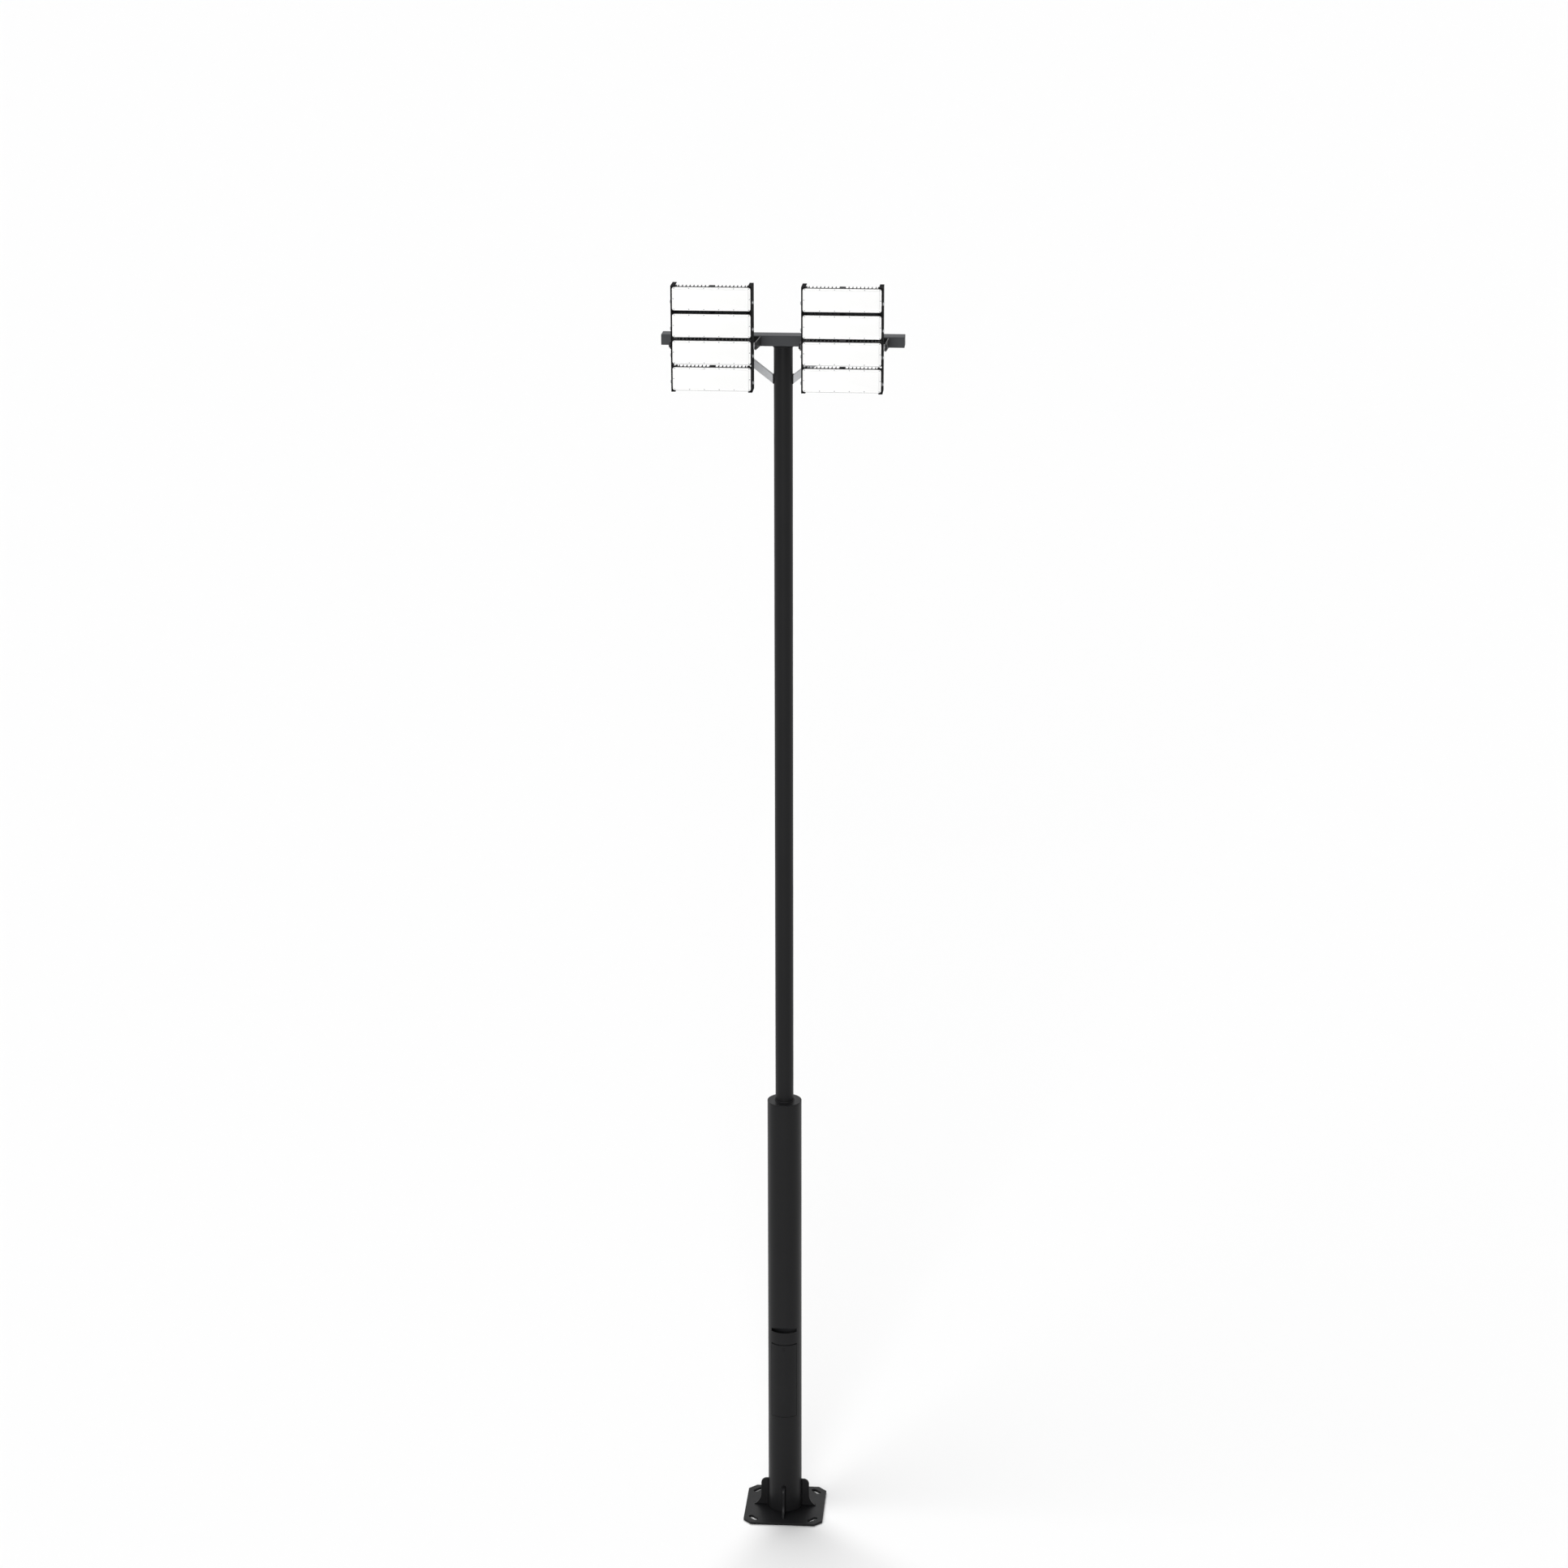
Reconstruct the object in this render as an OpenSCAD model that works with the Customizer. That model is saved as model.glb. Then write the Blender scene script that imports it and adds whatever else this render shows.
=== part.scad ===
// Park light pole: a stepped tubular column on a gusseted base plate, with a
// cross beam that carries two tilting floodlights of four LED modules each.
// Origin: centre of the base plate's underside. +Z up, the lamps face -Y.

/* [Base plate] */
// Side of the square base plate
plate_side = 400; // [390:5:480]
// Thickness of the base plate
plate_t = 12; // [10:1:25]
// Leg of the chamfer that cuts each corner of the base plate
plate_chamfer = 40; // [20:1:50]
// Distance between the anchor slots along each side
anchor_spacing = 300; // [280:5:320]
// Width of each anchor slot
anchor_slot_w = 24; // [16:1:28]
// Turn either way that an anchor slot allows, in degrees
anchor_turn = 5; // [2:0.5:6]
// Radius of the cable port through the base plate
cable_port_r = 30; // [20:1:32]
// Distance of the cable port behind the pole's axis
cable_port_y = 38; // [36:1:44]

/* [Gussets] */
// Thickness of a gusset
gusset_t = 11; // [8:1:20]
// Height of a gusset above the base plate
gusset_h = 148; // [120:1:200]
// Reach of a gusset's upper part from the shaft
gusset_reach = 38; // [28:1:45]
// Reach of a gusset's foot from the shaft
gusset_foot = 75; // [60:1:80]
// Height above the base plate at which a gusset starts to flare out
gusset_flare_h = 60; // [50:1:80]
// Radius of a gusset's upper outer corner
gusset_corner_r = 28; // [10:1:28]

/* [Shaft and tube] */
// Outer diameter of the lower shaft
shaft_d = 168.3; // [160:0.1:175]
// Wall of the lower shaft
shaft_wall = 5; // [4:0.5:7]
// Height of the shoulder where the shaft ends
shoulder_z = 2240; // [1800:10:2800]
// Height at which the shaft's plain length starts, above the wall slot
shaft_joint_z = 1100; // [1095:5:1400]
// Thickness of the cap that closes the shaft round the tube
cap_t = 6; // [4:1:12]
// Outer diameter of the upper tube
tube_d = 88.9; // [80:0.1:95]
// Wall of the upper tube
tube_wall = 4; // [3:0.5:6]
// Length of tube held inside the shaft
tube_overlap = 250; // [150:10:400]
// Thickness of the ring that centres the tube's foot in the shaft
ring_t = 10; // [6:1:20]
// Diameter of the round flange on top of the tube
flange_d = 93; // [92:1:110]
// Thickness of the round flange on top of the tube
flange_t = 5; // [4:1:10]

/* [Service door] */
// Half of the angle that the door opening spans round the shaft, in degrees
door_half_angle = 49; // [44:1:52]
// Height of the door's lower edge
door_z = 547; // [450:1:600]
// Height of the door
door_h = 395; // [320:5:420]
// Gap above the door, where a lever can reach in
door_top_gap = 6; // [4:0.5:8]
// Gap beside and below the door
door_gap = 1.5; // [1:0.1:2.5]
// Clearance between the door and the rebate behind it
door_seat_play = 0.3; // [0.2:0.1:0.6]
// Wall of the rebate frame inside the shaft
rebate_t = 4; // [3:0.5:6]
// Width by which the rebate frame overlaps the opening's edge, inside and out
rebate_lap = 9; // [6:1:12]
// Radius of the round lock barrel
lock_r = 9; // [7:0.5:12]
// Distance of the lock below the door's upper edge
lock_drop = 22; // [22:1:50]
// Middle height of the slot's ends, above the door
slot_z = 1020; // [1000:1:1080]
// Height of the slot at its ends
slot_h = 18; // [12:1:20]
// Rise of the slot's arched top at its middle
slot_rise = 10; // [4:1:14]

/* [Cross beam] */
// Height of the beam's underside
beam_z = 6010; // [5000:10:7000]
// Length of the beam with its end caps
beam_l = 1130; // [1080:10:1300]
// Depth of the beam, front to back
beam_d = 90; // [85:1:110]
// Height of the beam
beam_h = 50; // [42:1:60]
// Wall of the beam
beam_wall = 3; // [2:0.5:4]
// Outer radius of the beam's long corners
beam_corner_r = 6; // [5:0.5:9]
// Thickness of each end cap
beam_cap_t = 4; // [2:0.5:8]
// Width of a brace's front face
brace_w = 32; // [24:1:40]
// Depth of a brace, front to back
brace_d = 28; // [10:1:30]
// Distance of a brace's upper end from the pole's axis
brace_reach = 250; // [200:5:320]
// Drop of a brace from the beam to the tube
brace_drop = 159; // [120:1:220]
// Thickness of the pad between a brace and the tube
brace_pad_t = 3; // [3:1:8]

/* [Lamp] */
// Distance of a lamp's middle from the pole's axis
lamp_x = 297; // [280:1:320]
// Distance of the lamp covers' front from the pole's axis
lamp_y = 389; // [370:1:420]
// Height of a lamp's middle above the beam's underside
lamp_rise = 94; // [60:1:110]
// Depth of the lamp's side plates
side_d = 104; // [98:1:120]
// Thickness of the lamp's side plates
side_t = 4; // [3:0.5:6]
// Width of the flange at both ends of a side plate
side_flange = 15; // [8:1:20]
// Clearance between the end modules and the side plates' flanges
side_end_gap = 0.5; // [0.3:0.1:2]

/* [LED modules] */
// Number of modules stacked in a lamp
module_n = 4; // [3:1:4]
// Distance from one module to the next
module_pitch = 122.5; // [114:0.5:130]
// Width of a module
module_w = 360; // [340:1:364]
// Height of a module
module_h = 110; // [100:1:112]
// Thickness of the plate that carries a module's fins
module_base_t = 9; // [6:1:12]
// Depth of a module's cooling fins
fin_d = 42; // [25:1:44]
// Thickness of a cooling fin
fin_t = 4.5; // [3:0.5:7]
// Distance from one cooling fin to the next
fin_pitch = 17.5; // [14:0.5:18]
// Fins on each side of a module's middle block
fin_n = 8; // [6:1:8]
// Width of the block in the middle of the fins
fin_block_w = 28; // [20:1:32]
// Width of the block at each end of the fins
fin_end_w = 10; // [10:1:18]
// Length of the ears that reach from a module to the side plates
ear_l = 1.5; // [1:0.5:4]
// Depth of the ears
ear_d = 30; // [20:1:40]
// Height of the notch between a module's ears, which frees its bolt
notch_h = 21; // [20:1:36]
// Distance of the bolt and its notch below a module's middle
notch_drop = 17; // [10:1:28]
// Radius of a module bolt's hole in the side plate
bolt_r = 4; // [3:0.5:6]
// Margin of a module's plate at a cover's ends
cover_end_margin = 1.2; // [0.5:0.1:6]
// Margin of a module's plate above and below a cover
cover_edge_margin = 2; // [1:0.5:8]
// Thickness of a cover
cover_t = 8; // [4:1:10]
// Radius of a cover's corners
cover_r = 10; // [6:1:16]

/* [Yoke and pivot] */
// Distance of the tilt axis from the pole's axis
pivot_y = 309; // [300:1:320]
// Height of the tilt axis above the beam's underside
pivot_rise = 51; // [35:1:60]
// Radius of the pivot's shank
pivot_r = 8; // [6:0.5:10]
// Radial play of the shank in a yoke arm
pivot_play = 0.1; // [0.05:0.01:0.1]
// Radius of the collar between side plate and yoke arm
collar_r = 16; // [13:1:18]
// Radius of the pivot's head
pivot_head_r = 12; // [11:1:16]
// Thickness of the pivot's head
pivot_head_t = 6; // [5:1:12]
// Room between a side plate and a yoke arm
arm_room = 7; // [6:0.5:12]
// Thickness of a yoke arm
arm_t = 4; // [4:0.5:8]
// Radius of a yoke arm's round end
arm_end_r = 18; // [18:1:24]
// Height of the yoke's strap on the beam
strap_h = 44; // [30:1:46]
// Thickness of the yoke's strap
strap_t = 5; // [4:1:8]

/* [Driver] */
// Height of the crossbar behind the modules
crossbar_h = 40; // [24:1:50]
// Thickness of the crossbar
crossbar_t = 4; // [3:0.5:6]
// Width of the driver housing
driver_w = 240; // [200:5:300]
// Height of the driver housing
driver_h = 92; // [80:2:110]
// Depth of the driver housing
driver_d = 46; // [40:1:60]
// Pitch of the ribs on the driver housing
driver_rib_pitch = 24; // [16:1:30]
// Radius of the driver's cable gland
gland_r = 9; // [6:0.5:11]

/* [Hidden] */
$fn = 96;
// Small length by which a cutting tool runs past a face
cut = 1;
// Running clearance between the pivot's faces and a yoke arm
arm_play = 0.3;

shaft_r = shaft_d / 2;
shaft_bore_r = shaft_r - shaft_wall;
tube_r = tube_d / 2;
shaft_end_z = shoulder_z - cap_t;
tube_foot_z = shoulder_z - tube_overlap;
tube_end_z = beam_z - flange_t;
anchor_r = anchor_spacing / sqrt(2);

door_top_z = door_z + door_h;
opening_z = door_z - door_gap;
opening_top_z = door_top_z + door_top_gap;
door_r = shaft_bore_r + door_seat_play;
lock_z = door_top_z - lock_drop;

beam_front = beam_d / 2;
beam_mid_z = beam_z + beam_h / 2;
brace_angle = atan2(brace_drop, brace_reach - tube_r - brace_pad_t);
brace_foot_z = beam_z - brace_drop;
brace_pad_h = brace_w / cos(brace_angle) + 4;

lamp_z = beam_z + lamp_rise;
stack_h = (module_n - 1) * module_pitch + module_h;
side_h = stack_h + 2 * (side_end_gap + side_t);
side_in = module_w / 2 + ear_l;
side_out = side_in + side_t;
module_front = lamp_y - cover_t;
fin_front = module_front - module_base_t;
fin_back = fin_front - fin_d;
bolt_y = module_front - ear_d / 2;
fin_first = fin_block_w / 2 + fin_pitch - fin_t;

pivot_z = beam_z + pivot_rise;
arm_in = side_out + arm_room;
arm_out = arm_in + arm_t;
crossbar_z = lamp_z + module_pitch * (module_n / 2 - 1);
crossbar_back = fin_back - crossbar_t;

gusset_names = ["right", "back", "left", "front"];
function lamp_name(side) = side < 0 ? "left" : "right";
function module_z(i) = lamp_z + module_pitch * ((module_n + 1) / 2 - i);

// ---- shapes that several pieces share ----

// Unit vector at an angle
function dir(a) = [cos(a), sin(a)];

// A ring standing on z, open in the middle
module ring(r_out, r_in, z, h) {
    translate([0, 0, z]) difference() {
        cylinder(r = r_out, h = h);
        translate([0, 0, -cut]) cylinder(r = r_in, h = h + 2 * cut);
    }
}

// A stretch of tube wall centred on the pole's front, half_angle to each side
module front_band(r_in, r_out, half_angle, z, h) {
    translate([0, 0, z])
        rotate_extrude(angle = 2 * half_angle, start = -90 - half_angle)
            translate([r_in, 0]) square([r_out - r_in, h]);
}

// A rectangle with round corners, centred
module round_rect(w, h, r) {
    square([w - 2 * r, h], center = true);
    square([w, h - 2 * r], center = true);
    for (x = [-1, 1], y = [-1, 1])
        translate([x * (w / 2 - r), y * (h / 2 - r)]) circle(r = r);
}

// Stands an XY outline up in the XZ plane, its front at front and t deep
module upright(front, t) {
    translate([0, -front + t, 0]) rotate([90, 0, 0]) linear_extrude(t) children();
}

// Stands an outline of [distance to the front, height] up across X, from x0 to x1
module side_view(x0, x1) {
    translate([x0, 0, 0]) rotate([90, 0, 90]) linear_extrude(x1 - x0) mirror([1, 0]) children();
}

// ---- base ----

// Plan of one anchor slot, curved round the pole's axis
module anchor_slot() {
    reach = anchor_r + anchor_slot_w;
    intersection() {
        difference() {
            circle(r = anchor_r + anchor_slot_w / 2);
            circle(r = anchor_r - anchor_slot_w / 2);
        }
        polygon([[0, 0], reach * dir(45 - anchor_turn), reach * dir(45 + anchor_turn)]);
    }
    for (hand = [-1, 1])
        translate(anchor_r * dir(45 + hand * anchor_turn))
            rotate(45 + hand * 90) circle(d = anchor_slot_w);
}

module base_plate() {
    half = plate_side / 2;
    near = half - plate_chamfer;
    color("#2b2b2d") linear_extrude(plate_t) difference() {
        polygon([
            [near, -half], [half, -near], [half, near], [near, half],
            [-near, half], [-half, near], [-half, -near], [-near, -half]
        ]);
        for (corner = [0 : 3]) rotate(corner * 90) anchor_slot();
        translate([0, cable_port_y]) circle(r = cable_port_r);
    }
}

module gusset_outline() {
    top = plate_t + gusset_h;
    flare_z = plate_t + gusset_flare_h;
    upper_r = shaft_r + gusset_reach;
    spread = gusset_foot - gusset_reach;
    flare_r = (pow(gusset_flare_h, 2) + pow(spread, 2)) / (2 * spread);
    inner_r = shaft_r / 2;
    difference() {
        translate([inner_r, plate_t]) square([upper_r - inner_r, gusset_h]);
        translate([upper_r - gusset_corner_r, top - gusset_corner_r])
            square(gusset_corner_r + cut);
    }
    translate([upper_r - gusset_corner_r, top - gusset_corner_r]) circle(r = gusset_corner_r);
    difference() {
        translate([inner_r, plate_t]) square([shaft_r + gusset_foot - inner_r, gusset_flare_h]);
        translate([upper_r + flare_r, flare_z]) circle(r = flare_r);
    }
}

module gusset(i) {
    color("#2b2b2d") difference() {
        rotate([0, 0, i * 90]) translate([0, gusset_t / 2, 0]) rotate([90, 0, 0])
            linear_extrude(gusset_t) gusset_outline();
        cylinder(r = shaft_r, h = plate_t + gusset_h + cut);
    }
}

// ---- shaft and service door ----

// Tool for the slot above the door: a level band, and an arch over its middle
module slot_cut() {
    arch_z = slot_z + slot_h / 2 + slot_rise;
    half_w = (shaft_bore_r - shaft_wall) * sin(door_half_angle);
    arch_r = (pow(half_w, 2) + pow(slot_rise, 2)) / (2 * slot_rise);
    front_band(shaft_bore_r - cut, shaft_r + cut, door_half_angle,
               slot_z - slot_h / 2, slot_h);
    intersection() {
        front_band(shaft_bore_r - cut, shaft_r + cut, door_half_angle,
                   slot_z, arch_z + cut - slot_z);
        translate([0, 0, arch_z - arch_r]) rotate([90, 0, 0])
            cylinder(r = arch_r, h = shaft_d);
    }
}

module lower_shaft() {
    color("#2b2b2d") difference() {
        ring(shaft_r, shaft_bore_r, plate_t, shaft_joint_z - plate_t);
        front_band(shaft_bore_r - cut, shaft_r + cut, door_half_angle,
                   opening_z, opening_top_z - opening_z);
        slot_cut();
    }
}

// The rest of the same tube, drawn as a node of its own
module middle_shaft() {
    color("#2b2b2d") difference() {
        ring(shaft_r, shaft_bore_r, shaft_joint_z, shaft_end_z - shaft_joint_z);
        slot_cut();
    }
}

module door_frame() {
    lap_angle = asin(rebate_lap / shaft_bore_r);
    inner_r = shaft_bore_r - rebate_t;
    color("#242426") difference() {
        front_band(inner_r, shaft_bore_r, door_half_angle + lap_angle,
                   opening_z - rebate_lap, opening_top_z - opening_z + 2 * rebate_lap);
        front_band(inner_r - cut, shaft_bore_r + cut, door_half_angle - lap_angle,
                   opening_z + rebate_lap, opening_top_z - opening_z - 2 * rebate_lap);
    }
}

module service_door() {
    side_angle = asin(door_gap / shaft_r);
    color("#2b2b2d") difference() {
        front_band(door_r, shaft_r, door_half_angle - side_angle, door_z, door_h);
        translate([0, 0, lock_z]) rotate([90, 0, 0]) cylinder(r = lock_r, h = shaft_r + cut);
    }
}

module door_lock() {
    face = shaft_r + 0.8;
    barrel_l = 26;
    key_depth = 8;
    nut_t = 5;
    cam_w = 14;
    cam_l = 44;
    back = face - barrel_l;
    // The nut's corners are what reaches the door's hollow inner face
    nut_r = lock_r * 1.5;
    nut_face = sqrt(pow(door_r, 2) - pow(nut_r, 2));
    color("#4a4a4c") difference() {
        union() {
            translate([0, -back, lock_z]) rotate([90, 0, 0]) cylinder(r = lock_r, h = barrel_l);
            translate([0, nut_t - nut_face, lock_z]) rotate([90, 0, 0])
                cylinder(r = nut_r, h = nut_t, $fn = 6);
            translate([-cam_l / 2, -back - rebate_t, lock_z - cam_w / 2])
                cube([cam_l, rebate_t, cam_w]);
        }
        translate([0, -face + key_depth, lock_z]) rotate([90, 0, 0]) rotate([0, 0, 90])
            cylinder(r = lock_r * 0.6, h = key_depth + cut, $fn = 3);
    }
}

module shaft_cap() {
    color("#2b2b2d") ring(shaft_r, tube_r, shaft_end_z, cap_t);
}

module centring_ring() {
    color("#2b2b2d") ring(shaft_bore_r, tube_r, tube_foot_z, ring_t);
}

module upper_tube() {
    color("#2b2b2d") ring(tube_r, tube_r - tube_wall, tube_foot_z, tube_end_z - tube_foot_z);
}

module tube_flange() {
    color("#333335") translate([0, 0, tube_end_z]) cylinder(d = flange_d, h = flange_t);
}

// ---- cross beam ----

// Outline of the beam's tube, drawn in by inset all round
module beam_section(inset) {
    translate([0, beam_mid_z])
        round_rect(beam_d - 2 * inset, beam_h - 2 * inset, beam_corner_r - inset);
}

module cross_beam() {
    tube_end = beam_l / 2 - beam_cap_t;
    color("#3a3a3d") side_view(-tube_end, tube_end) difference() {
        beam_section(0);
        beam_section(beam_wall);
    }
}

module beam_cap(side) {
    color("#333335") scale_side(side)
        side_view(beam_l / 2 - beam_cap_t, beam_l / 2) beam_section(0);
}

module brace(side) {
    // The bar runs up its slope past both seats, and is cut off flush with them
    slope_l = (brace_reach + beam_d) / cos(brace_angle);
    color("#b4b4b4") scale_side(side) difference() {
        translate([tube_r + brace_pad_t, 0, brace_foot_z]) rotate([0, -brace_angle, 0])
            translate([-beam_d, -brace_d / 2, -brace_w / 2])
                cube([slope_l, brace_d, brace_w]);
        translate([0, -brace_d, beam_z]) cube([2 * brace_reach, 2 * brace_d, brace_reach]);
        translate([-brace_reach, -brace_d, brace_foot_z - brace_reach])
            cube([brace_reach + tube_r + brace_pad_t, 2 * brace_d, 2 * brace_reach]);
    }
}

// Draws a piece that is modelled on +X, on the named side of the pole
module scale_side(side) {
    mirror([side < 0 ? 1 : 0, 0, 0]) children();
}

module brace_pads() {
    color("#2b2b2d") for (side = [-1, 1]) scale_side(side) difference() {
        translate([0, -brace_d / 2 - 1, brace_foot_z - brace_pad_h / 2])
            cube([tube_r + brace_pad_t, brace_d + 2, brace_pad_h]);
        translate([0, 0, brace_foot_z - brace_pad_h]) cylinder(r = tube_r, h = 2 * brace_pad_h);
    }
}

// ---- lamps ----

module at_lamp(side) {
    translate([side * lamp_x, 0, 0]) children();
}

// Point where the line from p touches the circle round c, turned to the given hand
function tangent(p, c, r, hand) =
    let (v = p - c, a = atan2(v.y, v.x)) c + r * dir(a + hand * acos(r / norm(v)));

module arm_outline() {
    back = [beam_front, beam_mid_z];
    low = back - [0, strap_h / 2];
    high = back + [0, strap_h / 2];
    pivot = [pivot_y, pivot_z];
    difference() {
        union() {
            translate(pivot) circle(r = arm_end_r);
            polygon([low, high, tangent(high, pivot, arm_end_r, -1), pivot,
                     tangent(low, pivot, arm_end_r, 1)]);
        }
        translate(pivot) circle(r = pivot_r + pivot_play);
    }
}

module yoke(side) {
    color("#2b2b2d") at_lamp(side) {
        for (end = [-1, 1]) scale_side(end) side_view(arm_in, arm_out) arm_outline();
        translate([-arm_in - cut, -beam_front - strap_t, beam_mid_z - strap_h / 2])
            cube([2 * (arm_in + cut), strap_t, strap_h]);
    }
}

module pivots(side) {
    head_x = arm_out + arm_play;
    collar_l = arm_room - arm_play;
    color("#c4c6c8") at_lamp(side) for (end = [-1, 1]) scale_side(end)
        translate([side_out, -pivot_y, pivot_z]) rotate([0, 90, 0]) {
            cylinder(r = collar_r, h = collar_l);
            cylinder(r = pivot_r, h = head_x - side_out + cut);
            translate([0, 0, head_x - side_out])
                cylinder(r = pivot_head_r, h = pivot_head_t, $fn = 6);
        }
}

module side_plate(side, end) {
    low = lamp_z - side_h / 2;
    color("#232325") at_lamp(side) scale_side(end) difference() {
        union() {
            translate([side_in, -lamp_y, low]) cube([side_t, side_d, side_h]);
            for (z = [low, low + side_h - side_t])
                translate([side_in - side_flange, -lamp_y, z])
                    cube([side_flange + cut, side_d, side_t]);
        }
        for (i = [1 : module_n])
            translate([side_in - cut, -bolt_y, module_z(i) - notch_drop]) rotate([0, 90, 0])
                cylinder(r = bolt_r, h = side_t + 2 * cut);
    }
}

module led_module(side, i) {
    half_w = module_w / 2;
    half_h = module_h / 2;
    notch_low = -notch_drop - notch_h / 2;
    notch_top = notch_low + notch_h;
    color("#1d1d1f") at_lamp(side) translate([0, 0, module_z(i)]) {
        upright(module_front, module_base_t) round_rect(module_w, module_h, cover_r);
        translate([-fin_block_w / 2, -fin_front - cut, -half_h])
            cube([fin_block_w, fin_d + cut, module_h]);
        for (end = [-1, 1]) scale_side(end) {
            for (k = [0 : fin_n - 1])
                translate([fin_first + k * fin_pitch, -fin_front - cut, -half_h])
                    cube([fin_t, fin_d + cut, module_h]);
            translate([half_w - cover_r - fin_end_w, -fin_front - cut, -half_h])
                cube([fin_end_w, fin_d + cut, module_h]);
            // The ears stand off the end block, above and below the bolt
            for (ear = [[-half_h, notch_low], [notch_top, half_h]])
                translate([half_w - cover_r - cut, -module_front + cut, ear[0]])
                    cube([cover_r + cut + ear_l, ear_d, ear[1] - ear[0]]);
        }
    }
}

module covers(side) {
    color("white") at_lamp(side) for (i = [1 : module_n])
        translate([0, 0, module_z(i)])
            upright(lamp_y, cover_t)
                round_rect(module_w - 2 * cover_end_margin, module_h - 2 * cover_edge_margin, cover_r);
}

module crossbar(side) {
    lip = crossbar_h / 4;
    color("#232325") at_lamp(side) translate([-side_in, -fin_back, crossbar_z - crossbar_h / 2]) {
        cube([2 * side_in, crossbar_t, crossbar_h]);
        cube([2 * side_in, lip, crossbar_t]);
    }
}

module driver(side) {
    rib_n = floor((driver_w - driver_rib_pitch) / driver_rib_pitch / 2);
    rib_d = driver_d / 4;
    core_d = driver_d - rib_d;
    low = crossbar_z + crossbar_h / 2 - driver_h;
    color("#3a3c3f") at_lamp(side) translate([0, -crossbar_back, 0]) {
        // The housing hangs behind the crossbar, over its lower lip
        translate([-driver_w / 2, crossbar_h / 4, low]) cube([driver_w, core_d, driver_h]);
        translate([-driver_w / 2, 0, crossbar_z]) cube([driver_w, crossbar_h / 4 + cut, crossbar_h / 2]);
        for (k = [-rib_n : rib_n])
            translate([k * driver_rib_pitch - crossbar_t / 2, crossbar_h / 4 + core_d - cut, low])
                cube([crossbar_t, rib_d + cut, driver_h]);
        translate([0, crossbar_h / 4 + core_d / 2, low - gland_r * 1.5])
            cylinder(r = gland_r, h = gland_r * 1.5 + cut);
    }
}

// ---- pieces ----

base_plate();
for (i = [0 : 3])
    gusset(i);
lower_shaft();
middle_shaft();
door_frame();
service_door();
door_lock();
shaft_cap();
centring_ring();
upper_tube();
tube_flange();
cross_beam();
beam_cap(-1);  // beam_cap_left
beam_cap(1);  // beam_cap_right
brace(-1);  // brace_left
brace(1);  // brace_right
brace_pads();
for (side = [-1, 1]) {
    yoke(side);
    pivots(side);
    side_plate(side, -side);
    side_plate(side, side);
    covers(side);
    crossbar(side);
    driver(side);
    for (i = [1 : module_n])
        led_module(side, i);
}
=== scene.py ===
import math

import bmesh
import bpy
from mathutils import Matrix, Vector


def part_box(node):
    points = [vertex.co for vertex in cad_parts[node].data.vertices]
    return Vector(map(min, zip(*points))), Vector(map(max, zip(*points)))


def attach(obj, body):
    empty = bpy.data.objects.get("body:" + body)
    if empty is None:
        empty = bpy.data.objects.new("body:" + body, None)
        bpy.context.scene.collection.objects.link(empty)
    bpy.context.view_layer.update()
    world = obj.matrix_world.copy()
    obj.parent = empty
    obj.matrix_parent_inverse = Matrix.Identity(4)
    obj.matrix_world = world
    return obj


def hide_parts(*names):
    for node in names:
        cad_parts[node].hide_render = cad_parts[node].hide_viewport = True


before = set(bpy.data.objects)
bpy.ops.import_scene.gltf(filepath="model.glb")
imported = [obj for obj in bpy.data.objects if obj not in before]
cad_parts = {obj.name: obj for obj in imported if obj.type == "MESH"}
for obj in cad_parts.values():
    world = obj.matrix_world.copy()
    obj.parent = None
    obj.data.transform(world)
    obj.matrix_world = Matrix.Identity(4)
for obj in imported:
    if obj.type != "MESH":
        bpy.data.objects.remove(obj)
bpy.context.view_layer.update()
scene = bpy.context.scene

# ---- Camera and studio ----
# A long lens stands 18 m in front of the pole, a little to its right and above it.
# The pole stands on a white floor that runs out of sight, under an even pale sky.

AIM = Vector((0.0, 0.0, 3.874))
CAMERA_DISTANCE = 18.081
CAMERA_AZIMUTH = math.radians(4.492)
CAMERA_ELEVATION = math.radians(17.35)
CAMERA_ROLL = math.radians(-0.097)
SENSOR_MM = 36.0
LENS_MM = 86.27
FARTHEST_SEEN = 600.0


def direction(azimuth, elevation):
    """The way from the pole to something seen from it at this bearing and height."""
    return Vector((math.sin(azimuth) * math.cos(elevation),
                   -math.cos(azimuth) * math.cos(elevation),
                   math.sin(elevation)))


camera_data = bpy.data.cameras.new("camera")
camera_data.sensor_width = SENSOR_MM
camera_data.lens = LENS_MM
camera_data.clip_end = FARTHEST_SEEN
camera = bpy.data.objects.new("camera", camera_data)
scene.collection.objects.link(camera)
towards_camera = direction(CAMERA_AZIMUTH, CAMERA_ELEVATION)
camera.matrix_world = (Matrix.Translation(AIM + towards_camera * CAMERA_DISTANCE)
                       @ towards_camera.to_track_quat("Z", "Y").to_matrix().to_4x4()
                       @ Matrix.Rotation(CAMERA_ROLL, 4, "Z"))
scene.camera = camera
scene.view_settings.view_transform = "Standard"


def rgb(hex_colour):
    """An sRGB hex colour as the linear colour, with alpha, that the nodes take."""
    parts = [int(hex_colour[i:i + 2], 16) / 255 for i in (1, 3, 5)]
    return [c / 12.92 if c <= 0.04045 else ((c + 0.055) / 1.055) ** 2.4 for c in parts] + [1.0]


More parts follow.
